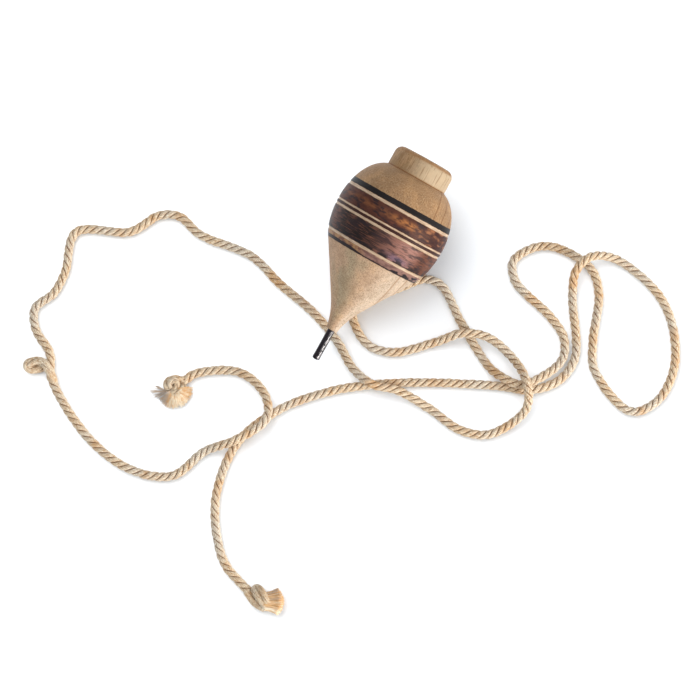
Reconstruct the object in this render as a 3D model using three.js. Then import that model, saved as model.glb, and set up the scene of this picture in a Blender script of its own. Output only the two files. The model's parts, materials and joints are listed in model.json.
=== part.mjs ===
import * as THREE from 'three';

// A turned wooden peg top, lying on its belly, with the knotted cord that spins it laid loosely
// round and under it. Millimetres, +Z up; the surface that everything lies on is z = 0. The top's
// own axis lies in the Y-Z plane with the crown towards +Y, and the origin is on the surface,
// under the middle of the top.

// ---- driving dimensions of the top, measured along its axis from the crown's flat face
const bellyRadius = 25.5;             // half the widest diameter
const woodLength = 85.2;              // crown face to the wood's end round the pin
const overallLength = 100;            // crown face to the pin's tip

const crownRadius = 13.9;             // the knob that the cord's loop is started from
const crownCorner = 3.5;              // rounding between the crown's face and its side
const crownHeight = 9.6;              // crown face to the foot of the knob

const bellyStation = 33;              // where the belly is widest
const bellyArc = 40.5;                // radius of the belly's outline below its widest place
const bellyArcAngle = THREE.MathUtils.degToRad(16);
const coneStart = 50;                 // where the straight cone starts
const coneStartRadius = 21.3;
const coneHalfAngle = THREE.MathUtils.degToRad(31.8);
const coneEnd = 72;                   // where it starts to hollow in towards the nose
const noseRadius = 2.6;               // wood left round the pin at the very end
const noseHalfAngle = THREE.MathUtils.degToRad(8.5);

// Shallow turned grooves that cut through the burnt bands round the belly.
const grooves = [
  { station: 24.75, width: 1.5 },
  { station: 33, width: 1 },
  { station: 35.2, width: 1.2 },
  { station: 46.2, width: 1.4 },
];
const grooveDepth = 0.3;

// The steel pin is driven into a blind hole in the cone's end.
const pinRadius = 1.7;
const pinInWood = 30;
const pinEdge = 0.6;                  // rounding of the cut tip
const fit = 0.3;                      // clearance between neighbouring pieces

// The lying top balances at this tilt, crown up, where its weight is over its contact.
const restTilt = THREE.MathUtils.degToRad(14);

// ---- the cord
const cordDiameter = 4;
const cordRadius = cordDiameter / 2;
const cordSides = 8;
const cordSteps = 83;

// The cord's whole route, as [x, y, rise]: rise is how far it is lifted off the surface where it
// passes over itself, about 5 over one strand and 9 over two.
const brushKnotToKink = [
  [-46.5, -87, 0], [-43, -80.5, 0], [-26.5, -70.5, 0], [-11.5, -74, 2.4], [-5.5, -83, 4.9],
  [-12.5, -98, 4.8], [-22, -108.5, 0], [-28.5, -124.5, 0], [-44.5, -131.5, 0], [-68, -129.5, 0],
  [-97, -115, 0],
];
const kinkToPin = [
  [-104.4, -105.2, 0], [-115, -99.5, 0], [-120.5, -91.5, 0], [-117, -81.5, 0], [-117.5, -71, 0],
  [-123, -52.5, 0], [-102, -40, 0], [-94.5, -27, 0], [-86.5, -23, 0], [-74.5, -25.5, 0],
  [-49, -22.5, 0], [-32, -27, 0], [-11.5, -31, 0],
];
const pinToCone = [
  [4, -37, 0], [15.5, -44, 2.6], [26.5, -46.5, 5.2], [38, -43, 3.2], [54, -42.5, 0],
  [70.2, -44, 0], [82.5, -39.1, 0], [91, -22, 3.4], [85.5, -12.5, 9], [74.5, -5, 3.8],
  [61, -2.5, 4.4], [50.5, -6.5, 5.4], [41.5, -15.5, 0.8], [27, -29, 0], [15, -31, 0],
];
const underConeToPair = [
  [2, -20.5, 0], [9, -10.5, 0], [16.5, -0.5, 0], [23.5, 7.5, 0], [31, 8.5, 0],
  [47.5, -2, 0], [67.5, -13, 0.4], [76, -14.8, 3.8], [84, -13.4, 4.2], [94, 5, 1.2],
  [90, 15, 0], [80, 20.5, 0],
];
const farLoops = [
  [58.5, 27, 0], [53.5, 35, 0], [63, 48, 0], [84.5, 49, 0], [93.5, 41, 0], [102, 20, 0],
  [109, 9, 0], [131.5, 1, 0], [139.5, 11.5, 0], [139, 27, 0], [130.5, 42.5, 0], [117, 53.5, 0],
  [93, 58, 0.8], [82.5, 52, 5.4], [80, 43.5, 4.6],
];
const backToFlaredKnot = [
  [84.5, 33, 0], [98.6, 9.7, 0], [97.2, -3, 0], [88.4, -12.9, 0], [75.6, -18.3, 0], [44.5, -34.5, 0],
  [26, -46.5, 0], [12, -58, 0], [-3, -76, 0], [-11.5, -97.5, 0], [-7, -124.5, 0],
  [9.5, -145.5, 0], [20, -149.7, 0], [26, -151.3, 0],
];
const route = [
  ...brushKnotToKink, ...kinkToPin, ...pinToCone, ...underConeToPair, ...farLoops,
  ...backToFlaredKnot,
];

// ---- materials
const paleWood = new THREE.MeshStandardMaterial({ color: 0xb98f5f, roughness: 0.55, metalness: 0 });
const darkSteel = new THREE.MeshStandardMaterial({ color: 0x3a383d, roughness: 0.35, metalness: 1 });
const cotton = new THREE.MeshStandardMaterial({ color: 0xd6b27c, roughness: 0.9, metalness: 0 });
const frayedCotton = new THREE.MeshStandardMaterial({ color: 0xe0c79a, roughness: 1, metalness: 0 });

// ---- the top, built with its axis on local Z and the crown's face at z = 0

// Where two lines on the outline meet, each given by a point on it and its angle from the axis.
function meet(first, firstAngle, second, secondAngle) {
  const firstSlope = Math.tan(firstAngle);
  const secondSlope = Math.tan(secondAngle);
  const offset = second.x - first.x + first.y * firstSlope - second.y * secondSlope;
  const height = offset / (firstSlope - secondSlope);
  return new THREE.Vector2(first.x + (height - first.y) * firstSlope, height);
}

// The wood's outline from the nose up to the crown, as (radius, height) with heights below zero.
function bellyOutline() {
  const arcMiddle = new THREE.Vector2(bellyRadius - bellyArc, -bellyStation);
  const arcFoot = new THREE.Vector2(
    arcMiddle.x + bellyArc * Math.cos(bellyArcAngle),
    arcMiddle.y - bellyArc * Math.sin(bellyArcAngle),
  );
  const coneTop = new THREE.Vector2(coneStartRadius, -coneStart);
  const coneEndRadius = coneStartRadius - (coneEnd - coneStart) * Math.tan(coneHalfAngle);
  const coneFoot = new THREE.Vector2(coneEndRadius, -coneEnd);
  const nose = new THREE.Vector2(noseRadius, -woodLength);
  const hollow = meet(nose, noseHalfAngle, coneFoot, coneHalfAngle);
  const turn = meet(coneTop, coneHalfAngle, arcFoot, bellyArcAngle);
  const cornerOffset = crownRadius - crownCorner;

  const outline = new THREE.Path();
  outline.moveTo(nose.x, nose.y);
  outline.quadraticCurveTo(hollow.x, hollow.y, coneFoot.x, coneFoot.y);
  outline.lineTo(coneTop.x, coneTop.y);
  outline.quadraticCurveTo(turn.x, turn.y, arcFoot.x, arcFoot.y);
  outline.absarc(arcMiddle.x, arcMiddle.y, bellyArc, -bellyArcAngle, 0);
  outline.bezierCurveTo(bellyRadius, -20.4, 20.2, -11.8, crownRadius, -crownHeight);
  outline.lineTo(crownRadius, -crownCorner);
  outline.absarc(cornerOffset, -crownCorner, crownCorner, 0, Math.PI / 2);
  return outline.getPoints(5);
}

// The outline's radius at a height, read between its two nearest points.
function radiusAt(points, height) {
  const next = points.findIndex((point) => point.y > height);
  const low = points[next - 1];
  const high = points[next];
  return THREE.MathUtils.mapLinear(height, low.y, high.y, low.x, high.x);
}

function cutGroove(points, { station, width }) {
  const bottom = -station - width / 2;
  const top = -station + width / 2;
  return [
    ...points.filter((point) => point.y < bottom),
    new THREE.Vector2(radiusAt(points, bottom), bottom),
    new THREE.Vector2(radiusAt(points, -station) - grooveDepth, -station),
    new THREE.Vector2(radiusAt(points, top), top),
    ...points.filter((point) => point.y > top),
  ];
}

// A solid of revolution about local Z from (radius, height) points.
function turned(points, segments) {
  return new THREE.LatheGeometry(points, segments).rotateX(Math.PI / 2);
}

function woodenBody() {
  const boreRadius = pinRadius + fit;
  const boreBottom = pinInWood + fit - woodLength;
  const profile = [
    new THREE.Vector2(0, boreBottom),
    new THREE.Vector2(boreRadius, boreBottom),
    new THREE.Vector2(boreRadius, -woodLength),
    ...grooves.reduce(cutGroove, bellyOutline()),
    new THREE.Vector2(0, 0),
  ];
  const mesh = new THREE.Mesh(turned(profile, 48), paleWood);
  mesh.name = 'wooden_body';
  return mesh;
}

function steelTip() {
  const head = pinInWood - woodLength;
  const profile = [
    new THREE.Vector2(0, -overallLength),
    new THREE.Vector2(pinRadius - pinEdge, -overallLength),
    new THREE.Vector2(pinRadius, pinEdge - overallLength),
    new THREE.Vector2(pinRadius, head),
    new THREE.Vector2(0, head),
  ];
  const mesh = new THREE.Mesh(turned(profile, 24), darkSteel);
  mesh.name = 'steel_tip';
  return mesh;
}

// The whole top, tipped over so that its belly touches the surface, with the origin under the
// middle of its length.
function lyingTop() {
  const top = new THREE.Group();
  top.add(woodenBody(), steelTip());
  const axisHeightAtBelly = bellyArc - (bellyArc - bellyRadius) * Math.cos(restTilt);
  top.rotation.x = restTilt - Math.PI / 2;
  top.position.z = axisHeightAtBelly + bellyStation * Math.sin(restTilt);
  top.updateMatrixWorld(true);
  const middle = new THREE.Box3().setFromObject(top, true).getCenter(new THREE.Vector3());
  top.position.y -= middle.y;
  return top;
}

// ---- the cord and what is on it

// A smooth curve through the route that never dips into the surface.
class LaidCurve extends THREE.Curve {
  constructor(points) {
    super();
    this.arcLengthDivisions = 2000;
    const centres = points.map(([x, y, rise]) => new THREE.Vector3(x, y, cordRadius + rise));
    this.through = new THREE.CatmullRomCurve3(centres);
  }

  getPoint(t, target = new THREE.Vector3()) {
    this.through.getPoint(t, target);
    target.z = Math.max(target.z, cordRadius);
    return target;
  }
}

function roundSection(radius, sides) {
  const corners = Array.from({ length: sides }, (_, index) => {
    const angle = (index / sides) * 2 * Math.PI;
    return new THREE.Vector2(radius * Math.cos(angle), radius * Math.sin(angle));
  });
  return new THREE.Shape(corners);
}

function cord() {
  const geometry = new THREE.ExtrudeGeometry(roundSection(cordRadius, cordSides), {
    steps: cordSteps,
    extrudePath: new LaidCurve(route),
  });
  const mesh = new THREE.Mesh(geometry, cotton);
  mesh.name = 'cord';
  return mesh;
}

// A tight bundle of cord, as a plain rounded solid resting on the surface.
function bundle(name, { length, width, height, at, turn }) {
  const geometry = new THREE.SphereGeometry(0.5, 20, 12).scale(length, width, height);
  const mesh = new THREE.Mesh(geometry, cotton);
  mesh.name = name;
  mesh.position.set(at[0], at[1], height / 2);
  mesh.rotation.z = turn;
  return mesh;
}

// The loose fibres past a knot: a brush that flares from the knot to its rounded cut end, and is
// flatter than it is wide where it lies on the surface.
function fray(name, { length, neck, mouth, flatness, at, turn }) {
  const profile = new THREE.Path();
  profile.moveTo(0, 0);
  profile.lineTo(neck / 2, 0);
  profile.quadraticCurveTo(neck / 2, length * 0.4, mouth / 2, length * 0.75);
  profile.quadraticCurveTo(mouth / 2, length, 0, length);
  const geometry = new THREE.LatheGeometry(profile.getPoints(6), 20);
  geometry.rotateZ(-Math.PI / 2).scale(1, 1, flatness);
  const mesh = new THREE.Mesh(geometry, frayedCotton);
  mesh.name = name;
  mesh.position.set(at[0], at[1], (mouth / 2) * flatness);
  mesh.rotation.z = turn;
  return mesh;
}

function knotsAndFrays() {
  return [
    bundle('brush_knot', { length: 7.6, width: 7.4, height: 7.4, at: [-49.3, -90.3], turn: 0.5 }),
    fray('brush_fray', {
      length: 6.6, neck: 10.4, mouth: 15, flatness: 0.5, at: [-47.2, -93.9], turn: -1.05,
    }),
    bundle('flared_knot', { length: 8.4, width: 10.4, height: 7.6, at: [31.2, -151.6], turn: 0.4 }),
    fray('flared_fray', {
      length: 6.4, neck: 8.4, mouth: 11.8, flatness: 0.6, at: [35.4, -149.8], turn: 0.4,
    }),
    bundle('cord_kink', { length: 8.4, width: 7.8, height: 7.2, at: [-107.5, -113.5], turn: 0.5 }),
  ];
}

const assembly = new THREE.Group();
assembly.add(lyingTop(), cord(), ...knotsAndFrays());

export default assembly;
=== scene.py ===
"""A turned wooden peg top lying among the laid cotton cord that spins it.

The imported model's own frame is in metres, and so are the cord's route, the camera, the floor and the
lights. The other shapes' sizes are in millimetres and turn into metres where a mesh is made, and shader
coordinates stay in millimetres.
"""

import json
import math

import bpy
import numpy as np
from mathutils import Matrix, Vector


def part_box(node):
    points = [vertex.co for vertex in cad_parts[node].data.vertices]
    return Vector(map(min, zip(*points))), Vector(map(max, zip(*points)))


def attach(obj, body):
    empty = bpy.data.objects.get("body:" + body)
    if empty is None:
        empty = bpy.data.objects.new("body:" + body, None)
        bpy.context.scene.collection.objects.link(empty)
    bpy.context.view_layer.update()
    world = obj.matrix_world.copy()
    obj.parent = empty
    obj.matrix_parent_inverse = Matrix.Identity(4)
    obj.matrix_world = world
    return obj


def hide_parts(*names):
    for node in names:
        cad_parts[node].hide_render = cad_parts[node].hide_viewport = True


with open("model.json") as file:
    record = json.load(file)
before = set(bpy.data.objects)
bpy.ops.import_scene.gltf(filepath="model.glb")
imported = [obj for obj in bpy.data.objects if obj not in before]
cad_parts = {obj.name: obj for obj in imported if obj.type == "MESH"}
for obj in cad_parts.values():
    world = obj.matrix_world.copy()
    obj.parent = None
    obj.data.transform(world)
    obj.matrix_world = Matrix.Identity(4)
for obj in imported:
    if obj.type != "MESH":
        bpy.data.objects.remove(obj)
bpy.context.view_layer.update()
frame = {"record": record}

MM = 0.001
rng = np.random.default_rng(7)

# ---------------------------------------------------------------- the camera

CAMERA_AZIMUTH = math.radians(30.1)
CAMERA_ELEVATION = math.radians(79.7)
CAMERA_DISTANCE = 0.805
CAMERA_TARGET = Vector((0.0103, -0.037, 0))
LENS = 93


def make_camera():
    data = bpy.data.cameras.new("camera")
    data.lens = LENS
    data.clip_start = 0.01
    camera = bpy.data.objects.new("camera", data)
    bpy.context.scene.collection.objects.link(camera)
    flat = math.cos(CAMERA_ELEVATION)
    back = Vector((
        math.sin(CAMERA_AZIMUTH) * flat,
        -math.cos(CAMERA_AZIMUTH) * flat,
        math.sin(CAMERA_ELEVATION),
    ))
    camera.location = CAMERA_TARGET + back * CAMERA_DISTANCE
    camera.rotation_euler = (-back).to_track_quat("-Z", "Y").to_euler()
    bpy.context.scene.camera = camera


make_camera()

# ---------------------------------------------------------------- meshes


class Surface:
    """Points, faces, and a shader coordinate and tone per point, gathered in millimetres."""

    def __init__(self):
        self.points = []
        self.faces = []
        self.places = []
        self.tones = []
        self.count = 0

    def add(self, points, faces, places, tone=0.5):
        self.faces.extend([[corner + self.count for corner in face] for face in faces])
        self.points.append(points)
        self.places.append(places)
        self.tones.append(np.full(len(points), tone))
        self.count += len(points)

    def piece(self, name, material):
        """A Blender object with its mesh where the points are."""
        mesh = bpy.data.meshes.new(name)
        mesh.from_pydata(np.concatenate(self.points) * MM, [], self.faces)
        place = mesh.attributes.new("place", "FLOAT_VECTOR", "POINT")
        place.data.foreach_set("vector", np.concatenate(self.places).astype(np.float32).ravel())
        tone = mesh.attributes.new("tone", "FLOAT", "POINT")
        tone.data.foreach_set("value", np.concatenate(self.tones).astype(np.float32))
        mesh.polygons.foreach_set("use_smooth", np.ones(len(mesh.polygons), bool))
        mesh.materials.append(material)
        mesh.update()
        made = bpy.data.objects.new(name, mesh)
        bpy.context.scene.collection.objects.link(made)
        return made


def tube_faces(rings, sides):
    """The quads and the two end caps of a tube of that many rings, for points in ring order."""
    faces = []
    for ring in range(rings - 1):
        for side in range(sides):
            following = (side + 1) % sides
            low = ring * sides
            faces.append((low + side, low + following, low + sides + following, low + sides + side))
    faces.append(tuple(range(sides - 1, -1, -1)))
    faces.append(tuple(range((rings - 1) * sides, rings * sides)))
    return faces


def unit(vectors):
    return vectors / np.linalg.norm(vectors, axis=-1, keepdims=True)


def carried_frames(path):
    """Two unit vectors across the path at each of its points, carried along it without twisting."""
    along = unit(np.gradient(path, axis=0))
    start = np.cross(along[0], (0.0, 0.0, 1.0))
    side = start / np.linalg.norm(start)
    sides = []
    for direction in along:
        side = side - direction * (side @ direction)
        side = side / np.linalg.norm(side)
        sides.append(side)
    sides = np.array(sides)
    return sides, np.cross(along, sides)


# ---------------------------------------------------------------- the cord's route

CORD_DIAMETER = 4.0
CORD_RADIUS = CORD_DIAMETER / 2
CORD_STEP = 0.45                      # between the laid cord's rings of points

# The route's points as (x, y, rise) in metres, the same as in the CAD source.
BRUSH_KNOT_TO_KINK = [
    (-0.0465, -0.087, 0), (-0.043, -0.0805, 0), (-0.0265, -0.0705, 0), (-0.0115, -0.074, 0.0024),
    (-0.0055, -0.083, 0.0049), (-0.0125, -0.098, 0.0048), (-0.022, -0.1085, 0),
    (-0.0285, -0.1245, 0), (-0.0445, -0.1315, 0), (-0.068, -0.1295, 0), (-0.097, -0.115, 0),
]
KINK_TO_PIN = [
    (-0.1044, -0.1052, 0), (-0.115, -0.0995, 0), (-0.1205, -0.0915, 0), (-0.117, -0.0815, 0),
    (-0.1175, -0.071, 0), (-0.123, -0.0525, 0), (-0.102, -0.04, 0), (-0.0945, -0.027, 0),
    (-0.0865, -0.023, 0), (-0.0745, -0.0255, 0), (-0.049, -0.0225, 0), (-0.032, -0.027, 0),
    (-0.0115, -0.031, 0),
]
PIN_TO_CONE = [
    (0.004, -0.037, 0), (0.0155, -0.044, 0.0026), (0.0265, -0.0465, 0.0052),
    (0.038, -0.043, 0.0032), (0.054, -0.0425, 0), (0.0702, -0.044, 0), (0.0825, -0.0391, 0),
    (0.091, -0.022, 0.0034), (0.0855, -0.0125, 0.009), (0.0745, -0.005, 0.0038),
    (0.061, -0.0025, 0.0044), (0.0505, -0.0065, 0.0054), (0.0415, -0.0155, 0.0008),
    (0.027, -0.029, 0), (0.015, -0.031, 0),
]
UNDER_CONE_TO_PAIR = [
    (0.002, -0.0205, 0), (0.009, -0.0105, 0), (0.0165, -0.0005, 0), (0.0235, 0.0075, 0),
    (0.031, 0.0085, 0), (0.0475, -0.002, 0), (0.0675, -0.013, 0.0004), (0.076, -0.0148, 0.0038),
    (0.084, -0.0134, 0.0042), (0.094, 0.005, 0.0012), (0.09, 0.015, 0), (0.08, 0.0205, 0),
]
FAR_LOOPS = [
    (0.0585, 0.027, 0), (0.0535, 0.035, 0), (0.063, 0.048, 0), (0.0845, 0.049, 0),
    (0.0935, 0.041, 0), (0.102, 0.02, 0), (0.109, 0.009, 0), (0.1315, 0.001, 0),
    (0.1395, 0.0115, 0), (0.139, 0.027, 0), (0.1305, 0.0425, 0), (0.117, 0.0535, 0),
    (0.093, 0.058, 0.0008), (0.0825, 0.052, 0.0054), (0.08, 0.0435, 0.0046),
]
BACK_TO_FLARED_KNOT = [
    (0.0845, 0.033, 0), (0.0986, 0.0097, 0), (0.0972, -0.003, 0), (0.0884, -0.0129, 0),
    (0.0756, -0.0183, 0), (0.0445, -0.0345, 0), (0.026, -0.0465, 0), (0.012, -0.058, 0),
    (-0.003, -0.076, 0), (-0.0115, -0.0975, 0), (-0.007, -0.1245, 0), (0.0095, -0.1455, 0),
    (0.02, -0.1497, 0), (0.026, -0.1513, 0),
]
ROUTE = (
    BRUSH_KNOT_TO_KINK + KINK_TO_PIN + PIN_TO_CONE + UNDER_CONE_TO_PAIR + FAR_LOOPS
    + BACK_TO_FLARED_KNOT
)


def smooth_curve(points, per_span=60):
    """A centripetal Catmull-Rom curve through points, as closely spaced points."""
    points = np.asarray(points, float)
    first = 2 * points[0] - points[1]
    last = 2 * points[-1] - points[-2]
    whole = np.vstack([first, points, last])
    t = np.linspace(0, 1, per_span, endpoint=False)[:, None]
    spans = []
    for a, b, c, d in zip(whole[:-3], whole[1:-2], whole[2:-1], whole[3:]):
        before, within, after = (math.sqrt(np.linalg.norm(q - p)) for p, q in ((a, b), (b, c), (c, d)))
        out = (b - a) / before - (c - a) / (before + within) + (c - b) / within
        into = (c - b) / within - (d - b) / (within + after) + (d - c) / after
        out, into = out * within, into * within
        cubic = 2 * b - 2 * c + out + into
        square = -3 * b + 3 * c - 2 * out - into
        spans.append(((cubic * t + square) * t + out) * t + b)
    return np.vstack([*spans, points[-1:]])


def quadratic(a, b, c, count):
    """A quadratic curve from a to c that bends towards b."""
    t = np.linspace(0, 1, count)[:, None]
    a, b, c = (np.array(point, float) for point in (a, b, c))
    return a * (1 - t) ** 2 + 2 * b * t * (1 - t) + c * t**2


def evenly(path, step):
    """The path again, with points that lie a step apart."""
    along = np.concatenate([[0], np.cumsum(np.linalg.norm(np.diff(path, axis=0), axis=1))])
    count = max(3, round(along[-1] / step) + 1)
    at = np.linspace(0, along[-1], count)
    return np.stack([np.interp(at, along, path[:, axis]) for axis in range(3)], axis=1), at


def cord_centreline():
    """The laid cord's own centreline in millimetres, never lower than its radius."""
    route = np.array(ROUTE) / MM
    route[:, 2] += CORD_RADIUS
    curve = smooth_curve(route)
    curve[:, 2] = np.maximum(curve[:, 2], CORD_RADIUS)
    return evenly(curve, CORD_STEP)


# ---------------------------------------------------------------- three-strand rope

STRANDS = 3
LAY_LENGTH = 2.6 * CORD_DIAMETER      # one turn of a strand round the cord
POINTS_PER_STRAND = 12
STRAND_REACH = 0.56                   # strand centre to cord centre, over the cord's radius
STRAND_DEPTH = 1 - STRAND_REACH       # half the strand's thickness outwards
STRAND_WIDTH = 0.60                   # half the strand's width round the cord
FLOOR_GAP = 0.03                      # nothing of the cord reaches lower
UNEVEN_STRANDS = 0.025                # how much a strand's thickness wanders, over its own
WANDER_LENGTH = 5                     # over about how many millimetres it does so


def strand_radius(turn):
    """The cord's outline over its radius, at an angle from a strand's crest: an ellipse's far side."""
    across = np.cos(turn)
    up = np.sin(turn)
    curve = across**2 / STRAND_DEPTH**2 + up**2 / STRAND_WIDTH**2
    slope = STRAND_REACH * across / STRAND_DEPTH**2
    rest = STRAND_REACH**2 / STRAND_DEPTH**2 - 1
    return (slope + np.sqrt(slope**2 - curve * rest)) / curve


def wander(at, wavelength, seed):
    """A smooth random number about 0 along a length."""
    values = np.random.default_rng(seed).normal(0, 1, int(at[-1] / wavelength) + 4)
    return np.interp(at / wavelength, np.arange(len(values)), values)


def add_rope(surface, path, at, radius, lay=LAY_LENGTH, relief=1.0):
    """A left-laid rope round a path, its grooves shallower where the relief is under 1.

    The shader coordinate is the point's place in a straight cord of the full radius.
    """
    across, up = carried_frames(path)
    sides = STRANDS * POINTS_PER_STRAND
    section = np.arange(sides) * 2 * math.pi / sides
    pitch = 2 * math.pi / STRANDS
    from_crest = (section + pitch / 2) % pitch - pitch / 2
    outline = 1 - relief * (1 - strand_radius(from_crest))
    strand = ((section + pitch / 2) // pitch).astype(int) % STRANDS
    plump = np.stack([
        1 + UNEVEN_STRANDS * wander(at, WANDER_LENGTH, 11 + number) for number in range(STRANDS)
    ])
    radius = np.broadcast_to(radius, at.shape)
    twist = -2 * math.pi * at / lay
    angle = twist[:, None] + section
    reach = radius[:, None] * outline * plump[strand].T
    cosine, sine = np.cos(angle), np.sin(angle)
    points = path[:, None] + reach[..., None] * (
        cosine[..., None] * across[:, None] + sine[..., None] * up[:, None]
    )
    points[..., 2] = np.maximum(points[..., 2], FLOOR_GAP)
    full = CORD_RADIUS * outline * plump[strand].T
    straight = np.stack([full * cosine, full * sine, np.broadcast_to(at[:, None], reach.shape)], axis=-1)
    surface.add(points.reshape(-1, 3), tube_faces(len(path), sides), straight.reshape(-1, 3))


def add_fibre(surface, path, radius, place, tone, sides=4):
    """One loose fibre: a thin tube that narrows to its tip."""
    across, up = carried_frames(path)
    turns = np.arange(sides) * 2 * math.pi / sides
    thin = radius * np.linspace(1, 0.45, len(path))
    points = path[:, None] + thin[:, None, None] * (
        np.cos(turns)[None, :, None] * across[:, None] + np.sin(turns)[None, :, None] * up[:, None]
    )
    points[..., 2] = np.maximum(points[..., 2], FLOOR_GAP)
    places = np.repeat(place + np.linspace(0, 1, len(path))[:, None] * (0, 0, 8), sides, axis=0)
    surface.add(points.reshape(-1, 3), tube_faces(len(path), sides), places, tone)


# ---------------------------------------------------------------- shader helper


class Paint:
    """A material and short names for the shader nodes that it is made of."""

    def __init__(self, name):
        self.material = bpy.data.materials.new(name)
        self.material.use_nodes = True
        self.tree = self.material.node_tree
        self.shader = self.tree.nodes["Principled BSDF"]

    def feed(self, socket, value):
        if isinstance(value, bpy.types.NodeSocket):
            self.tree.links.new(value, socket)
        elif value is not None:
            socket.default_value = value

    def node(self, kind, inputs=(), **settings):
        made = self.tree.nodes.new(kind)
        for key, value in settings.items():
            setattr(made, key, value)
        for socket, value in zip(made.inputs, inputs):
            self.feed(socket, value)
        return made

    def math(self, operation, first, second=None, clamp=False):
        made = self.node("ShaderNodeMath", (first, second), operation=operation, use_clamp=clamp)
        return made.outputs[0]

    def plus(self, *values):
        total = values[0]
        for value in values[1:]:
            total = self.math("ADD", total, value)
        return total

    def times(self, *values):
        total = values[0]
        for value in values[1:]:
            total = self.math("MULTIPLY", total, value)
        return total

    def read(self, name, output="Vector"):
        made = self.node("ShaderNodeAttribute", attribute_name=name)
        return made.outputs[output]

    def split(self, vector):
        return self.node("ShaderNodeSeparateXYZ", (vector,)).outputs

    def join(self, x, y, z):
        return self.node("ShaderNodeCombineXYZ", (x, y, z)).outputs[0]

    def stretch(self, vector, x, y, z):
        made = self.node("ShaderNodeVectorMath", (vector, (x, y, z)), operation="MULTIPLY")
        return made.outputs[0]

    def noise(self, vector, scale=1.0, detail=2.0):
        made = self.node("ShaderNodeTexNoise")
        self.feed(made.inputs["Vector"], vector)
        made.inputs["Scale"].default_value = scale
        made.inputs["Detail"].default_value = detail
        return made.outputs["Fac"]

    def rise(self, value, low, high):
        """0 at low and 1 at high, smoothly, whichever of the two is the larger."""
        made = self.node("ShaderNodeMapRange", interpolation_type="SMOOTHSTEP")
        self.feed(made.inputs["Value"], value)
        made.inputs["From Min"].default_value = low
        made.inputs["From Max"].default_value = high
        return made.outputs["Result"]

    def band(self, value, low, high, soft):
        """1 between low and high, with soft edges."""
        up = self.rise(value, low - soft, low + soft)
        down = self.rise(value, high - soft, high + soft)
        return self.math("SUBTRACT", up, down, clamp=True)

    def hump(self, value, middle, half):
        """1 at the middle, falling smoothly to 0 a half width away."""
        away = self.math("ABSOLUTE", self.math("SUBTRACT", value, middle))
        return self.math("SUBTRACT", 1.0, self.rise(away, 0.0, half))

    def mix(self, share, first, second):
        """The first colour, with that share of the second in it."""
        made = self.node("ShaderNodeMix", data_type="RGBA", clamp_factor=True)
        # The node lists its number and vector sockets first: these are its colour sockets.
        self.feed(made.inputs["Factor"], share)
        for socket, value in ((made.inputs[6], first), (made.inputs[7], second)):
            self.feed(socket, value)
        return made.outputs[2]

    def bump(self, height, distance, strength):
        made = self.node("ShaderNodeBump")
        made.inputs["Strength"].default_value = strength
        made.inputs["Distance"].default_value = distance
        self.feed(made.inputs["Height"], height)
        self.feed(self.shader.inputs["Normal"], made.outputs[0])

    def surface(self, colour, roughness, specular=0.5, metallic=0.0):
        self.feed(self.shader.inputs["Base Color"], colour)
        self.feed(self.shader.inputs["Roughness"], roughness)
        self.shader.inputs["Specular IOR Level"].default_value = specular
        self.shader.inputs["Metallic"].default_value = metallic
        return self.material


def colour(red, green, blue):
    """A shader colour from the 0 to 255 values that a screen shows."""
    def linear(value):
        value /= 255
        return value / 12.92 if value <= 0.04045 else ((value + 0.055) / 1.055) ** 2.4
    return (linear(red), linear(green), linear(blue), 1.0)


# ---------------------------------------------------------------- cotton


def cotton():
    """Undyed cotton: cream yarns, golden or greyed by stretches, with painted shade in brown where strands
    meet and between the yarns.
    """
    paint = Paint("laid_cotton")
    place = paint.read("place")
    x, y, along = paint.split(place)
    radius = paint.math("SQRT", paint.plus(paint.times(x, x), paint.times(y, y)))
    uneven = paint.noise(paint.stretch(place, 0.8, 0.8, 0.5), detail=3.0)
    raised = paint.plus(radius, paint.times(uneven, 0.5))
    groove = paint.math("SUBTRACT", 1.0, paint.rise(raised, 1.45, 1.95))
    angle = paint.math("ARCTAN2", y, x)

    # The yarns in each strand run nearly along the cord, as fine ridges.
    turns = paint.plus(paint.times(angle, 20.0), paint.times(along, 1.4))
    wavy = paint.plus(turns, paint.times(uneven, 9.0))
    yarn = paint.plus(paint.times(paint.math("SINE", wavy), 0.5), 0.5)
    fibre = paint.noise(paint.stretch(place, 4.5, 4.5, 1.0), detail=4.0)
    worn = paint.noise(paint.join(0.0, 0.0, along), scale=0.04, detail=3.0)
    patch = paint.noise(paint.join(0.0, 5.0, along), scale=0.12, detail=3.0)

    bright = paint.rise(fibre, 0.3, 0.66)
    golden = paint.mix(bright, colour(190, 140, 86), colour(255, 244, 218))
    greyed = paint.mix(bright, colour(178, 154, 122), colour(255, 250, 236))
    base = paint.mix(paint.rise(worn, 0.44, 0.6), golden, greyed)
    base = paint.mix(paint.times(paint.rise(patch, 0.52, 0.72), 0.55), base, colour(214, 160, 96))
    base = paint.mix(paint.times(paint.rise(uneven, 0.46, 0.7), 0.4), base, colour(254, 244, 220))
    # Painted shade: the valleys between yarns and the grooves where strands meet are darkened brown.
    base = paint.mix(paint.times(paint.rise(yarn, 0.5, 0.0), 0.55), base, colour(156, 104, 56))
    base = paint.mix(paint.times(groove, 0.9), base, colour(134, 78, 32))
    height = paint.plus(paint.times(yarn, 0.6), paint.times(fibre, 0.6))
    paint.bump(height, 0.00022, 1.0)
    return paint.surface(base, 0.85, specular=0.25)


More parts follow.
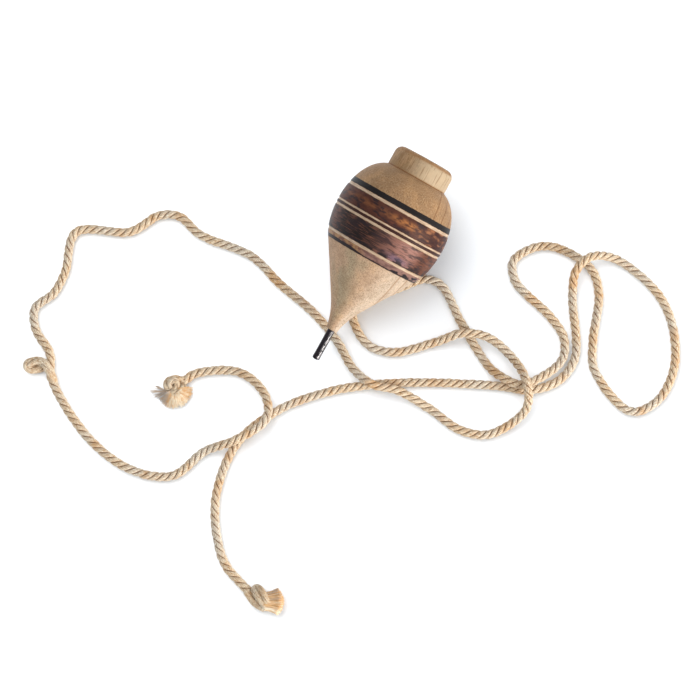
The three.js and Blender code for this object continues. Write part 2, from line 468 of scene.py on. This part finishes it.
def loose_cotton():
    """The frayed ends' cotton, from grey at tone 0 through orange-tan to cream at tone 1."""
    paint = Paint("loose_cotton")
    place = paint.read("place")
    tone = paint.read("tone", "Fac")
    fleck = paint.noise(place, scale=0.9, detail=2.0)
    golden = paint.mix(paint.rise(tone, 0.0, 0.5), colour(208, 202, 198), colour(230, 186, 134))
    base = paint.mix(paint.rise(tone, 0.5, 1.0), golden, colour(255, 248, 230))
    base = paint.mix(paint.times(fleck, 0.3), base, colour(214, 180, 132))
    paint.bump(fleck, 0.00005, 0.5)
    return paint.surface(base, 0.9, specular=0.2)


COTTON = cotton()
LOOSE_COTTON = loose_cotton()


def centre(node):
    """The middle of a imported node's box, in millimetres."""
    low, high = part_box(node)
    return np.array((low + high) / 2) / MM


def add_fuzz(surface, path, at):
    """Short stray fibres that stand off the cord's surface, one in each short gap along it."""
    across, up = carried_frames(path)
    gap = 1.3
    thickness = 0.045
    for number in range(int(at[-1] / gap)):
        index = min(len(path) - 2, int((number + rng.random()) * gap / at[-1] * len(path)))
        angle = rng.uniform(0, 2 * math.pi)
        out = math.cos(angle) * across[index] + math.sin(angle) * up[index]
        ahead = unit(path[index + 1] - path[index]) * rng.choice((-1, 1))
        length = rng.uniform(0.7, 1.9)
        lift = rng.uniform(0.25, 0.75)
        root = path[index] + out * CORD_RADIUS * 0.86
        steps = np.linspace(0, 1, 4)[:, None]
        curl = np.cross(out, ahead) * rng.normal(0, 0.35)
        fibre = root + length * (steps * ahead + lift * steps**0.7 * out + steps**2 * curl)
        if fibre[:, 2].min() > 0.1:
            place = np.array((1.9, 0, at[index]))    # on a strand's crest, away from the grooves' painted shade
            add_fibre(surface, fibre, thickness, place, rng.random(), sides=3)


def make_cord():
    """The laid cord with its fuzz, and its centreline."""
    path, at = cord_centreline()
    surface = Surface()
    add_rope(surface, path, at, CORD_RADIUS)
    add_fuzz(surface, path, at)
    return surface.piece("laid_cord", COTTON), path


laid_cord, cord_path = make_cord()


# ---------------------------------------------------------------- kink, knots and frayed ends

ROPE_STEP = 0.4                       # between a knot's rings of points
SQUEEZED_END = 0.55                   # a knot's cord at its two hidden ends, over its own radius
SQUEEZE_LENGTH = 2.0
BRUSH_FIBRES = 900
BRUSH_FAN = (-152, 12)                # degrees, turning left from the picture's right
STRAY_TIPS = ((-9.6, -3.0, 1.4), (-7.1, -0.6, 2.2), (-7.6, -5.0, 0.8))
FIBRES_PER_STRAY = 14
FLARE_FIBRES = 950


def plan(node, offsets):
    """Points about a node in millimetres, given as (right, up, height) in the camera's own directions."""
    middle = centre(node)
    right = np.array((math.cos(CAMERA_AZIMUTH), math.sin(CAMERA_AZIMUTH), 0))
    up = np.array((-math.sin(CAMERA_AZIMUTH), math.cos(CAMERA_AZIMUTH), 0))
    offsets = np.array(offsets, float)
    flat = np.array((middle[0], middle[1], 0))
    return flat + offsets[:, :1] * right + offsets[:, 1:2] * up + offsets[:, 2:] * (0, 0, 1)


def make_rope_piece(name, node, offsets, radii, lay, relief):
    """A short length of the same cord along a given path.

    It narrows from the first radius to the second, as a cord does in a tight knot, and is squeezed
    a little at both ends.
    """
    path, at = evenly(smooth_curve(plan(node, offsets)), ROPE_STEP)
    from_end = np.minimum(at, at[-1] - at)
    squeeze = SQUEEZED_END + (1 - SQUEEZED_END) * np.clip(from_end / SQUEEZE_LENGTH, 0, 1)
    radius = np.interp(at, (2.0, 6.0), radii)
    surface = Surface()
    add_rope(surface, path, at, radius * squeeze, lay=lay, relief=relief)
    return surface.piece(name, COTTON)


def make_kink():
    """The cord's tight little twisted loop, its first leg below and its second lying over the cord."""
    return make_rope_piece("kink_loop", "cord_kink", (
        (7.3, 2.2, 2.0), (5.0, -0.4, 1.95), (2.0, -1.8, 1.95), (-1.0, -2.0, 2.1), (-2.5, -1.0, 2.8),
        (-2.2, 0.5, 3.8), (-0.2, 1.1, 4.5), (2.6, 1.3, 5.1), (5.2, 0.3, 5.6), (6.8, -1.8, 5.4),
        (8.0, -4.1, 4.3), (9.1, -6.6, 2.7), (10.0, -8.6, 1.6),
    ), (1.95, 1.95), lay=2.4 * LAY_LENGTH, relief=0.6)


def make_brush_knot():
    """A tight knot: an outer turn, an inner turn over it, and a last turn laid round the fibres."""
    return make_rope_piece("brush_end_knot", "brush_knot", (
        (6.0, 2.7, 2.0), (3.4, 2.4, 2.8), (0.8, 2.9, 3.6), (-1.8, 2.0, 4.2), (-2.9, -0.2, 4.1),
        (-2.2, -1.8, 3.5), (-0.2, -2.3, 3.9), (1.8, -1.2, 4.6), (1.9, 0.9, 5.3), (0.5, 1.6, 6.1),
        (-0.9, 0.6, 6.1), (-1.1, -0.7, 4.6), (0.3, -0.4, 2.6), (3.4, -0.2, 2.2), (4.7, -0.7, 3.3),
        (3.7, -2.4, 4.3), (1.4, -3.7, 4.6), (-1.4, -4.4, 3.6), (-3.0, -4.2, 2.2),
    ), (1.7, 1.4), lay=1.3 * LAY_LENGTH, relief=0.75)


def make_flared_knot():
    """The other end's knot: two slanting turns, pulled tight against the flare."""
    return make_rope_piece("flared_end_knot", "flared_knot", (
        (-5.9, 4.3, 2.0), (-4.3, 1.3, 2.3), (-2.7, -1.3, 2.5), (-0.2, -3.4, 2.8), (1.9, -4.4, 3.2),
        (2.3, -3.3, 4.2), (0.6, -1.1, 4.8), (-1.1, 1.7, 4.5), (-2.2, 3.6, 3.4), (-1.2, 4.7, 2.8),
        (0.4, 3.9, 4.4), (2.0, 1.7, 5.7), (3.3, -0.7, 5.5), (4.3, -2.6, 4.0), (5.0, -3.4, 2.8),
    ), (1.9, 1.45), lay=2.2 * LAY_LENGTH, relief=0.5)


def add_loose(surface, node, ends, bow, thickness, tone):
    """One loose fibre between two ends, given about a node, bowed towards a third point."""
    root, tip = ends
    path = quadratic(root, bow, tip, 6)
    wave = rng.normal(0, 0.12, path.shape) * np.linspace(0, 1, len(path))[:, None]
    path = path + wave
    path[:, 2] = np.maximum(path[:, 2], thickness + 0.05)
    add_fibre(surface, plan(node, path), thickness, rng.uniform(0, 30, 3), tone)


def make_brush():
    """Fibres that fan out from under the knot through nearly half a circle, and a few strays."""
    surface = Surface()
    middle = np.array((0.6, -2.2, 2.6))
    for _ in range(BRUSH_FIBRES):
        layer = rng.random()
        degrees = rng.uniform(*BRUSH_FAN)
        turn = math.radians(degrees)
        outwards = np.array((math.cos(turn), math.sin(turn), 0))
        reach = (8.0 - 3.6 * layer**1.4) * rng.uniform(0.9, 1.05)
        root = middle + outwards * rng.uniform(0.4, 1.6) + (0, 0, 1.2 * layer)
        tip = middle + outwards * reach + (0, 0, -2.0 + 4.6 * layer)
        bow = middle + outwards * reach * 0.6 + (0, 0, 0.6 + 3.6 * layer)
        grey, golden = np.clip(((-105 - degrees) / 25, (degrees + 60) / 40), 0, 1)
        tone = np.clip(0.88 - 0.75 * grey - 0.3 * golden + rng.normal(0, 0.15), 0, 1)
        add_loose(surface, "brush_knot", (root, tip), bow, rng.uniform(0.13, 0.22), tone)
    for tip in STRAY_TIPS:
        for _ in range(FIBRES_PER_STRAY):
            shift = rng.normal(0, 0.3, 3)
            root = middle + (-3.0, -1.0, 0.6) + shift
            bow = (root + tip) / 2 + (0, 0.2, 0.8)
            add_loose(surface, "brush_knot", (root, tip + 2 * shift), bow, 0.16, rng.uniform(0, 0.3))
    return surface.piece("brush_end_fibres", LOOSE_COTTON)


def make_flare():
    """Fibres that leave the knot side by side and spread into a bell with a rounded cut end."""
    surface = Surface()
    widest = math.radians(50)
    for _ in range(FLARE_FIBRES):
        spot = math.sqrt(rng.random())
        around = rng.uniform(0, 2 * math.pi)
        side, rise = spot * math.cos(around), spot * math.sin(around)
        reach = (7.7 - 0.6 * rise**2) * rng.uniform(0.92, 1.03)
        root = np.array((1.6, -1.4 + side * 3.9, 3.2 + rise * 2.7))
        outwards = np.array((math.cos(widest * side), math.sin(widest * side), 0))
        tip = np.array((3.0, -1.6, 3.4 + rise * 3.0)) + outwards * reach
        bow = (root + tip) / 2 - (0, side * 1.1, 0)
        tone = np.clip(0.55 - 0.3 * side + rng.normal(0, 0.16), 0.15, 1)
        add_loose(surface, "flared_knot", (root, tip), bow, rng.uniform(0.15, 0.24), tone)
    return surface.piece("flared_end_fibres", LOOSE_COTTON)


kink_loop = make_kink()
brush_end_knot = make_brush_knot()
brush_end_fibres = make_brush()
flared_end_knot = make_flared_knot()
flared_end_fibres = make_flare()


# ---------------------------------------------------------------- the turned wood

# As in the CAD source. A station is a distance along the top's axis from the crown's flat face.
BELLY_RADIUS = 25.5
WOOD_LENGTH = 85.2
OVERALL_LENGTH = 100.0
CROWN_RADIUS = 13.9
CROWN_CORNER = 3.5
CROWN_HEIGHT = 9.6
BELLY_STATION = 33.0
BELLY_ARC = 40.5
BELLY_ARC_ANGLE = math.radians(16)
CONE_START = 50.0
CONE_START_RADIUS = 21.3
CONE_ANGLE = math.radians(31.8)
CONE_END = 72.0
NOSE_RADIUS = 2.6
NOSE_ANGLE = math.radians(8.5)
PIN_RADIUS = 1.7
PIN_IN_WOOD = 30.0
GROOVES = ((24.75, 1.5), (33.0, 1.0), (35.2, 1.2), (46.2, 1.4))
GROOVE_DEPTH = 0.3
AROUND_WOOD = 256                     # points round the wood
AROUND_PIN = 48
OUTLINE_STEP = 0.3
BORE_GAP = 0.02                       # between the pin and its hole
BORE_END_GAP = 0.05
RIDGE_PITCH = 1.15                    # along the pin, between its rolled ridges
RIDGE_DEPTH = 0.11

# Stations where each burnt band starts and ends, and those of the light lines between them.
BLACK_BAND = (21.6, 24.05)
UPPER_BAND = (25.4, 32.6)
THIN_BAND = (33.4, 34.65)
LOWER_BAND = (35.75, 45.6)
FOOT_BAND = (46.8, 49.7)
ALL_BANDS = (21.7, 49.6)
LIGHT_LINES = ((24.15, 25.3), (32.7, 33.35), (34.7, 35.65), (45.7, 46.7))
RING_SPACING = 4.8                    # between growth lines, across the wood
RING_OFFSET = 49.0                    # puts a growth line where one shows

crown = next(mount for mount in frame["record"]["mounts"] if mount["name"] == "crown_face")
CROWN_PLACE = np.array(crown["pos_m"]) / MM
AXIS = np.array(crown["axis"])
ACROSS = np.array((1.0, 0.0, 0.0))
UPWARD = np.cross(ACROSS, AXIS)


def arc(middle, radius, start, end, count):
    """Points on an arc, as (radius, station), its angles turning from outwards towards the crown."""
    angles = np.linspace(start, end, count)
    return np.stack([middle[0] + radius * np.cos(angles), middle[1] - radius * np.sin(angles)], axis=1)


def bezier(a, b, c, d, count):
    """A cubic curve from a to d that leaves towards b and arrives from c."""
    t = np.linspace(0, 1, count)[:, None]
    a, b, c, d = (np.array(point, float) for point in (a, b, c, d))
    return a * (1 - t) ** 3 + 3 * b * t * (1 - t) ** 2 + 3 * c * t**2 * (1 - t) + d * t**3


def meet(first, first_angle, second, second_angle):
    """Where two lines on the outline meet, each given by a point on it and its angle from the axis."""
    first_slope, second_slope = math.tan(first_angle), math.tan(second_angle)
    offset = first[0] - second[0] + first[1] * first_slope - second[1] * second_slope
    station = offset / (first_slope - second_slope)
    return first[0] - (station - first[1]) * first_slope, station


def wood_outline():
    """The wood from its nose up to the crown's face, as (radius, station)."""
    arc_middle = (BELLY_RADIUS - BELLY_ARC, BELLY_STATION)
    arc_foot = (
        arc_middle[0] + BELLY_ARC * math.cos(BELLY_ARC_ANGLE),
        arc_middle[1] + BELLY_ARC * math.sin(BELLY_ARC_ANGLE),
    )
    cone_top = (CONE_START_RADIUS, CONE_START)
    cone_foot = (CONE_START_RADIUS - (CONE_END - CONE_START) * math.tan(CONE_ANGLE), CONE_END)
    nose = (NOSE_RADIUS, WOOD_LENGTH)
    hollow = quadratic(nose, meet(nose, NOSE_ANGLE, cone_foot, CONE_ANGLE), cone_foot, 50)
    cone = np.linspace(cone_foot, cone_top, 60)
    turn = quadratic(cone_top, meet(cone_top, CONE_ANGLE, arc_foot, BELLY_ARC_ANGLE), arc_foot, 40)
    belly = arc(arc_middle, BELLY_ARC, -BELLY_ARC_ANGLE, 0, 80)
    shoulder = bezier(
        (BELLY_RADIUS, BELLY_STATION), (BELLY_RADIUS, 20.4), (20.2, 11.8),
        (CROWN_RADIUS, CROWN_HEIGHT), 130,
    )
    foot = np.array([(CROWN_RADIUS - 0.12, CROWN_HEIGHT - 0.15), (CROWN_RADIUS - 0.05, CROWN_HEIGHT - 0.6)])
    side = np.linspace((CROWN_RADIUS, CROWN_HEIGHT - 1.2), (CROWN_RADIUS, CROWN_CORNER), 14)
    corner = arc((CROWN_RADIUS - CROWN_CORNER, CROWN_CORNER), CROWN_CORNER, 0, math.pi / 2, 20)
    face = np.linspace((CROWN_RADIUS - CROWN_CORNER, 0), (0.4, 0), 20)
    parts = (hollow, cone, turn, belly, shoulder)
    return np.vstack([*(part[:-1] for part in parts), foot, side[:-1], corner[:-1], face])


def cut_grooves(outline):
    """The outline with a small rounded valley turned at each groove."""
    cut = np.zeros(len(outline))
    for station, width in GROOVES:
        near = np.clip(1 - (np.abs(outline[:, 1] - station) / (width / 2)) ** 2, 0, 1)
        cut = np.maximum(cut, GROOVE_DEPTH * near**0.6)
    outline[:, 0] -= cut
    return outline


def finer(outline, step):
    """The outline with points a small step apart."""
    whole = np.column_stack([outline, np.zeros(len(outline))])
    path, _ = evenly(whole, step)
    return path[:, :2]


def turned(surface, profile, around, ripple):
    """A solid of revolution on the top's axis from (radius, station) points, its two ends closed."""
    turns = np.arange(around) * 2 * math.pi / around
    radii, stations = profile[:, 0], profile[:, 1]
    radii = np.repeat(radii[:, None], around, axis=1)
    radii = radii + ripple(radii, stations[:, None], turns)
    aside = radii * np.sin(turns)
    above = radii * np.cos(turns)
    places = np.stack([aside, above, np.repeat(stations[:, None], around, axis=1)], axis=-1)
    points = (
        CROWN_PLACE - stations[:, None, None] * AXIS
        + aside[..., None] * ACROSS + above[..., None] * UPWARD
    )
    surface.add(points.reshape(-1, 3), tube_faces(len(profile), around), places.reshape(-1, 3))


def hand_work(radii, stations, turns):
    """The turner's small unevenness: faint waves round the wood and fine tool marks along it."""
    waves = 0.035 * np.sin(3 * turns + 0.16 * stations) + 0.025 * np.sin(5 * turns - 0.23 * stations + 1.3)
    tool = 0.012 * np.sin(stations * 5.2 + 0.6 * np.sin(turns))
    share = np.clip(radii / BELLY_RADIUS, 0, 1) * (radii > NOSE_RADIUS + 0.3)
    return (waves + tool) * share


def make_wood():
    """The wood, with the pin's blind hole up its cone."""
    outline = cut_grooves(finer(wood_outline(), OUTLINE_STEP))
    hole = PIN_RADIUS + BORE_GAP
    bottom = WOOD_LENGTH - PIN_IN_WOOD - BORE_END_GAP
    bore = np.array([(0.4, bottom), (hole, bottom), (hole, WOOD_LENGTH - 10), (hole, WOOD_LENGTH)])
    surface = Surface()
    turned(surface, np.vstack([bore, outline]), AROUND_WOOD, hand_work)
    return surface


def make_pin():
    """The steel pin: a drawn rod with shallow rolled ridges and a worn, rounded tip."""
    tip_edge = 0.9
    shank = np.arange(WOOD_LENGTH - PIN_IN_WOOD, OVERALL_LENGTH - tip_edge, 0.08)
    rod = np.stack([np.full(len(shank), PIN_RADIUS), shank], axis=1)
    tip = arc((PIN_RADIUS - tip_edge, OVERALL_LENGTH - tip_edge), tip_edge, 0, -math.pi / 2, 10)
    profile = np.vstack([[(0.3, shank[0])], rod, tip, [(0.25, OVERALL_LENGTH)]])

    def ridges(radii, stations, turns):
        rolled = np.sin(2 * math.pi * stations / RIDGE_PITCH - 2 * turns) ** 2
        bare = np.clip((OVERALL_LENGTH - 1.2 - stations) / 1.0, 0, 1) * (stations > WOOD_LENGTH)
        return -RIDGE_DEPTH * rolled * bare * (radii > PIN_RADIUS * 0.9)

    surface = Surface()
    turned(surface, profile[::-1], AROUND_PIN, ridges)
    return surface


# ---------------------------------------------------------------- wood and steel


def plain_wood(paint, place):
    """Brown-tan wood with fine fibres along the axis, a few growth lines down its right side, and painted
    light and shade on the cone's two sides.

    Returns its colour, and the fibre and pore noises that also roughen the surface.
    """
    x, y, station = paint.split(place)
    round_it = paint.math("ARCTAN2", x, y)
    bent = paint.noise(paint.stretch(place, 0.05, 0.05, 0.02), detail=2.0)
    depth = paint.plus(x, paint.times(paint.plus(bent, -0.5), 2.0), paint.times(y, -0.35))
    ring = paint.math("FRACT", paint.times(paint.plus(depth, RING_OFFSET), 1 / RING_SPACING))
    late = paint.hump(ring, 0.5, 0.11)
    fibre = paint.noise(paint.stretch(place, 2.6, 2.6, 0.16), detail=4.0)
    pores = paint.noise(paint.stretch(place, 3.2, 3.2, 0.9), detail=4.0)
    mottle = paint.noise(paint.stretch(place, 0.22, 0.22, 0.12), detail=4.0)
    cloudy = paint.noise(paint.stretch(place, 0.08, 0.08, 0.05), detail=2.0)

    on_cone = paint.rise(station, 46.0, 51.0)
    body = paint.mix(mottle, colour(150, 118, 88), colour(172, 134, 96))
    cone = paint.mix(mottle, colour(186, 150, 122), colour(208, 176, 148))
    dull = paint.times(paint.rise(cloudy, 0.42, 0.62), paint.hump(round_it, -0.35, 1.0))
    cone = paint.mix(paint.times(dull, 0.8), cone, colour(166, 154, 128))
    # Painted light and shade: the cone is painted paler on its right side and darker on its left, as the
    # light falls.
    cone = paint.mix(paint.times(paint.rise(round_it, 0.1, 0.9), 0.7), cone, colour(218, 204, 186))
    cone = paint.mix(paint.times(paint.rise(round_it, -0.9, -1.5), 0.6), cone, colour(158, 118, 88))
    base = paint.mix(on_cone, body, cone)
    base = paint.mix(paint.times(paint.rise(mottle, 0.46, 0.7), 0.3), base, colour(192, 150, 104))
    base = paint.mix(paint.times(paint.rise(mottle, 0.56, 0.36), 0.3), base, colour(140, 110, 78))
    base = paint.mix(paint.times(paint.rise(fibre, 0.46, 0.7), 0.42), base, colour(132, 96, 60))
    base = paint.mix(paint.times(paint.rise(fibre, 0.5, 0.3), 0.22), base, colour(232, 202, 160))
    flecks = paint.times(paint.rise(pores, 0.54, 0.64), 0.6)
    base = paint.mix(flecks, base, colour(104, 80, 56))
    strength = paint.plus(0.04, paint.times(paint.rise(depth, 7.5, 9.5), 0.6))
    line = paint.mix(on_cone, colour(108, 68, 36), colour(140, 92, 50))
    return paint.mix(paint.times(late, strength), base, line), fibre, pores


def turned_crown(paint, base, place):
    """The crown: an orange-brown rim, painted light that makes its right side paler, fine cracks and a dark
    line at its foot.
    """
    x, y, station = paint.split(place)
    radius = paint.math("SQRT", paint.plus(paint.times(x, x), paint.times(y, y)))
    rim = paint.times(paint.band(station, 0.5, 1.9, 0.6), paint.rise(radius, 11.2, 12.6))
    base = paint.mix(paint.times(rim, 0.4), base, colour(146, 100, 52))
    knob = paint.times(paint.band(station, 2.0, 9.2, 0.5), paint.rise(paint.noise(place, 0.3), 0.4, 0.6))
    base = paint.mix(paint.times(knob, 0.25), base, colour(138, 112, 70))
    # Painted light: the crown's right side is painted paler, as the light falls on it.
    right = paint.rise(paint.math("ARCTAN2", x, y), -0.6, 0.5)
    painted_light_side = paint.times(paint.band(station, 1.6, 9.2, 0.5), right)
    base = paint.mix(paint.times(painted_light_side, 0.6), base, colour(200, 182, 154))
    crack = paint.noise(paint.stretch(place, 1.6, 1.6, 0.12), detail=3.0)
    crack = paint.times(paint.rise(crack, 0.56, 0.66), paint.rise(station, 9.6, 8.8))
    base = paint.mix(paint.times(crack, 0.5), base, colour(116, 84, 48))
    return paint.mix(paint.times(paint.hump(station, 9.5, 0.5), 0.7), base, colour(118, 76, 38))


def upper_scorch(paint, round_it, station, lines, streak):
    """The upper band: red-brown, with an orange streak round its middle and dark patches."""
    blot = paint.noise(paint.join(paint.times(round_it, 4.2), 9.0, paint.times(station, 0.42)), detail=4.0)
    dark = paint.mix(streak, colour(38, 18, 17), colour(98, 52, 36))
    glow = paint.times(paint.hump(station, 28.6, 2.5), paint.rise(streak, 0.36, 0.6))
    near = paint.plus(0.2, paint.times(paint.hump(round_it, 0.4, 0.5), 0.7))
    made = paint.mix(paint.times(glow, near), dark, colour(186, 120, 66))
    made = paint.mix(paint.times(paint.rise(blot, 0.51, 0.6), 0.85), made, colour(38, 23, 28))
    patched = paint.mix(paint.rise(blot, 0.33, 0.5), colour(158, 102, 66), colour(52, 19, 15))
    made = paint.mix(paint.times(paint.rise(round_it, 0.62, 0.66), 0.8), made, patched)
    return paint.mix(paint.times(paint.rise(lines, 0.52, 0.72), 0.3), made, colour(134, 82, 58))


def lower_scorch(paint, round_it, station, lines, streak):
    """The lower band: nearly black, worn to purple-brown on its right, where a bluish streak runs."""
    blot = paint.noise(paint.join(paint.times(round_it, 3.4), 4.0, paint.times(station, 0.5)), detail=4.0)
    right = paint.rise(round_it, -0.15, 0.6)
    left_patch = paint.hump(round_it, -1.05, 0.35)
    made = paint.mix(right, colour(34, 22, 20), colour(158, 112, 100))
    made = paint.mix(paint.rise(round_it, 0.7, 1.0), made, colour(98, 56, 38))
    made = paint.mix(paint.times(left_patch, 0.8), made, colour(92, 56, 44))
    made = paint.mix(paint.times(paint.rise(lines, 0.5, 0.6), 0.6), made, colour(124, 78, 62))
    made = paint.mix(paint.times(paint.rise(lines, 0.48, 0.38), 0.7), made, colour(28, 18, 20))
    made = paint.mix(paint.times(paint.rise(blot, 0.5, 0.6), 0.75), made, colour(44, 30, 34))
    blue = paint.times(paint.hump(station, 43.9, 2.4), paint.hump(round_it, 0.52, 0.4))
    made = paint.mix(paint.times(blue, 0.6), made, colour(78, 74, 108))
    low = paint.times(paint.hump(station, 45.2, 3.0), paint.rise(streak, 0.44, 0.52))
    return paint.mix(paint.times(low, 0.9), made, colour(24, 20, 24))


def foot_scorch(paint, round_it, station, rough, streak):
    """The strip under the last groove: tan over a black line that frays out to the right."""
    blot = paint.rise(streak, 0.45, 0.58)
    tan = paint.mix(blot, colour(160, 120, 84), colour(108, 74, 62))
    worn = paint.mix(paint.times(blot, 0.6), colour(136, 102, 92), colour(84, 56, 56))
    made = paint.mix(paint.rise(round_it, -0.3, 0.05), tan, worn)
    spread = paint.times(paint.rise(round_it, 0.45, 0.85), paint.rise(streak, 0.46, 0.54))
    solid = paint.math("SUBTRACT", 1.0, paint.rise(round_it, -0.45, -0.05))
    top = paint.plus(49.15, paint.times(solid, -0.9), paint.times(spread, -1.7))
    line = paint.rise(paint.math("SUBTRACT", paint.plus(station, paint.times(rough, 0.5)), top), 0.1, 0.35)
    return paint.mix(line, made, colour(34, 24, 28))


def wood():
    """The whole body's material: plain wood, its crown, and the burnt bands with light lines between."""
    paint = Paint("burnt_wood")
    place = paint.read("place")
    x, y, station = paint.split(place)
    round_it = paint.math("ARCTAN2", x, y)
    base, fibre, pores = plain_wood(paint, place)
    base = turned_crown(paint, base, place)

    # Burnt bands: their edges wander a little, and fine turned lines run round the belly.
    rough = paint.noise(paint.stretch(place, 0.7, 0.7, 0.7), detail=3.0)
    edge = paint.plus(station, paint.times(paint.plus(rough, -0.5), 0.4))
    lines = paint.noise(paint.join(paint.times(round_it, 4.5), 0.0, paint.times(station, 3.6)), detail=5.0)
    streak = paint.noise(paint.join(paint.times(round_it, 6.0), 3.0, paint.times(station, 0.6)), detail=4.0)
    paler = paint.mix(paint.rise(lines, 0.35, 0.65), colour(168, 140, 114), colour(208, 184, 160))
    for limits, soft, burn in (
        (BLACK_BAND, 0.12, colour(22, 16, 17)),
        (UPPER_BAND, 0.14, upper_scorch(paint, round_it, station, lines, streak)),
        (THIN_BAND, 0.1, colour(54, 26, 20)),
        (LOWER_BAND, 0.14, lower_scorch(paint, round_it, station, lines, streak)),
        (FOOT_BAND, 0.16, foot_scorch(paint, round_it, station, rough, streak)),
    ):
        base = paint.mix(paint.band(edge, *limits, soft), base, burn)
    for limits in LIGHT_LINES:
        base = paint.mix(paint.band(edge, *limits, 0.1), base, paler)

    burnt = paint.band(station, *ALL_BANDS, 0.2)
    fine = paint.plus(paint.times(fibre, 0.5), paint.times(pores, 0.35), paint.times(lines, 0.3))
    paint.bump(fine, 0.00012, 0.6)
    sheen = paint.plus(0.6, paint.times(burnt, -0.12), paint.times(paint.plus(fibre, -0.5), 0.2))
    return paint.surface(base, sheen, specular=0.2)


def dark_steel():
    """Nearly black steel with a painted highlight on its rolled ridges along one side."""
    paint = Paint("dark_steel")
    place = paint.read("place")
    x, y, station = paint.split(place)
    round_it = paint.math("ARCTAN2", x, y)
    scale = paint.noise(paint.stretch(place, 1.3, 1.3, 1.0), detail=4.0)
    slant = paint.plus(paint.times(station, 2 * math.pi / RIDGE_PITCH), paint.times(round_it, -2.0))
    ridge = paint.math("ABSOLUTE", paint.math("SINE", slant))
    # Painted highlight: bright flecks on the ridges along one side of the pin.
    painted_highlight = paint.times(paint.hump(round_it, 0.7, 0.75), paint.rise(ridge, 0.5, 0.9))
    painted_highlight = paint.times(painted_highlight, paint.rise(scale, 0.42, 0.56))
    base = paint.mix(scale, colour(24, 21, 24), colour(66, 60, 66))
    base = paint.mix(painted_highlight, base, colour(226, 224, 226))
    gloss = paint.plus(0.22, paint.times(scale, 0.25))
    paint.bump(paint.plus(scale, paint.times(ridge, 0.3)), 0.00008, 0.6)
    return paint.surface(base, gloss, metallic=1.0)


turned_wood = make_wood().piece("turned_wood", wood())
steel_pin = make_pin().piece("steel_pin", dark_steel())


# ---------------------------------------------------------------- the floor and the light

FLOOR_HALF = 3.0
FLOOR_COLOUR = (0.91, 0.935, 0.965, 1.0)
FLOOR_DROP = 0.0001                   # the floor lies this little below the object
SKY_COLOUR = (0.95, 0.98, 1.0, 1.0)
WARM_LIGHT = (1.0, 0.95, 0.88)


def make_floor():
    """The plain pale floor."""
    half = FLOOR_HALF
    mesh = bpy.data.meshes.new("floor")
    corners = [(-half, -half, 0), (half, -half, 0), (half, half, 0), (-half, half, 0)]
    mesh.from_pydata(corners, [], [(0, 1, 2, 3)])
    paint = Paint("floor")
    mesh.materials.append(paint.surface(FLOOR_COLOUR, 0.9, specular=0.1))
    made = bpy.data.objects.new("floor", mesh)
    made.location.z = -FLOOR_DROP
    bpy.context.scene.collection.objects.link(made)
    return made


def make_light(name, azimuth, elevation, distance, size, power, tint=(1.0, 1.0, 1.0)):
    """A soft square light that faces the origin, placed by azimuth, elevation and distance."""
    data = bpy.data.lights.new(name, "AREA")
    data.size = size
    data.energy = power
    data.color = tint
    light = bpy.data.objects.new(name, data)
    around, above = math.radians(azimuth), math.radians(elevation)
    back = Vector((
        math.sin(around) * math.cos(above), -math.cos(around) * math.cos(above), math.sin(above),
    ))
    light.location = back * distance
    light.rotation_euler = (-back).to_track_quat("-Z", "Y").to_euler()
    bpy.context.scene.collection.objects.link(light)
    return light


def lights_only(light, objects):
    """Lets a light fall on some objects only, while everything still casts its shadow."""
    lit = bpy.data.collections.new(light.name + "_lights")
    for made in objects:
        lit.objects.link(made)
    light.light_linking.receiver_collection = lit


def make_world(brightness):
    """An even, slightly cool sky."""
    world = bpy.data.worlds.new("studio")
    world.use_nodes = True
    background = world.node_tree.nodes["Background"]
    background.inputs["Color"].default_value = SKY_COLOUR
    background.inputs["Strength"].default_value = brightness
    bpy.context.scene.world = world


# The photograph's shadows fall on the side that its bright faces turn to, which one set of lights can't
# do. So the key and the glow light only the floor, and cast the shadows there, the fill lights only the
# pieces, and the overhead light and the sky light both.
PIECES = (
    laid_cord, kink_loop, brush_end_knot, brush_end_fibres, flared_end_knot, flared_end_fibres,
    turned_wood, steel_pin,
)
floor = make_floor()
key = make_light("key", azimuth=255, elevation=50, distance=1.2, size=1.3, power=12)
glow = make_light("floor_glow", azimuth=30, elevation=80, distance=1.4, size=2.4, power=9)
for light in (key, glow):
    lights_only(light, [floor])
fill = make_light("fill", azimuth=82, elevation=22, distance=1.2, size=0.7, power=15, tint=WARM_LIGHT)
lights_only(fill, PIECES)
make_light("overhead", azimuth=200, elevation=82, distance=1.4, size=1.6, power=7)
make_world(0.5)
bpy.context.scene.view_settings.view_transform = "Standard"


# ---------------------------------------------------------------- what moves with what

for piece, node, slot in (
    (laid_cord, "cord", "cord"),
    (kink_loop, "cord_kink", "cord"),
    (brush_end_knot, "brush_knot", "cord"),
    (brush_end_fibres, "brush_fray", "frayed_cord"),
    (flared_end_knot, "flared_knot", "cord"),
    (flared_end_fibres, "flared_fray", "frayed_cord"),
):
    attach(piece, "cord")
    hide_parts(node)

for piece, node, slot in ((turned_wood, "wooden_body", "wood"), (steel_pin, "steel_tip", "steel")):
    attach(piece, "top")
    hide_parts(node)

bpy.context.view_layer.update()
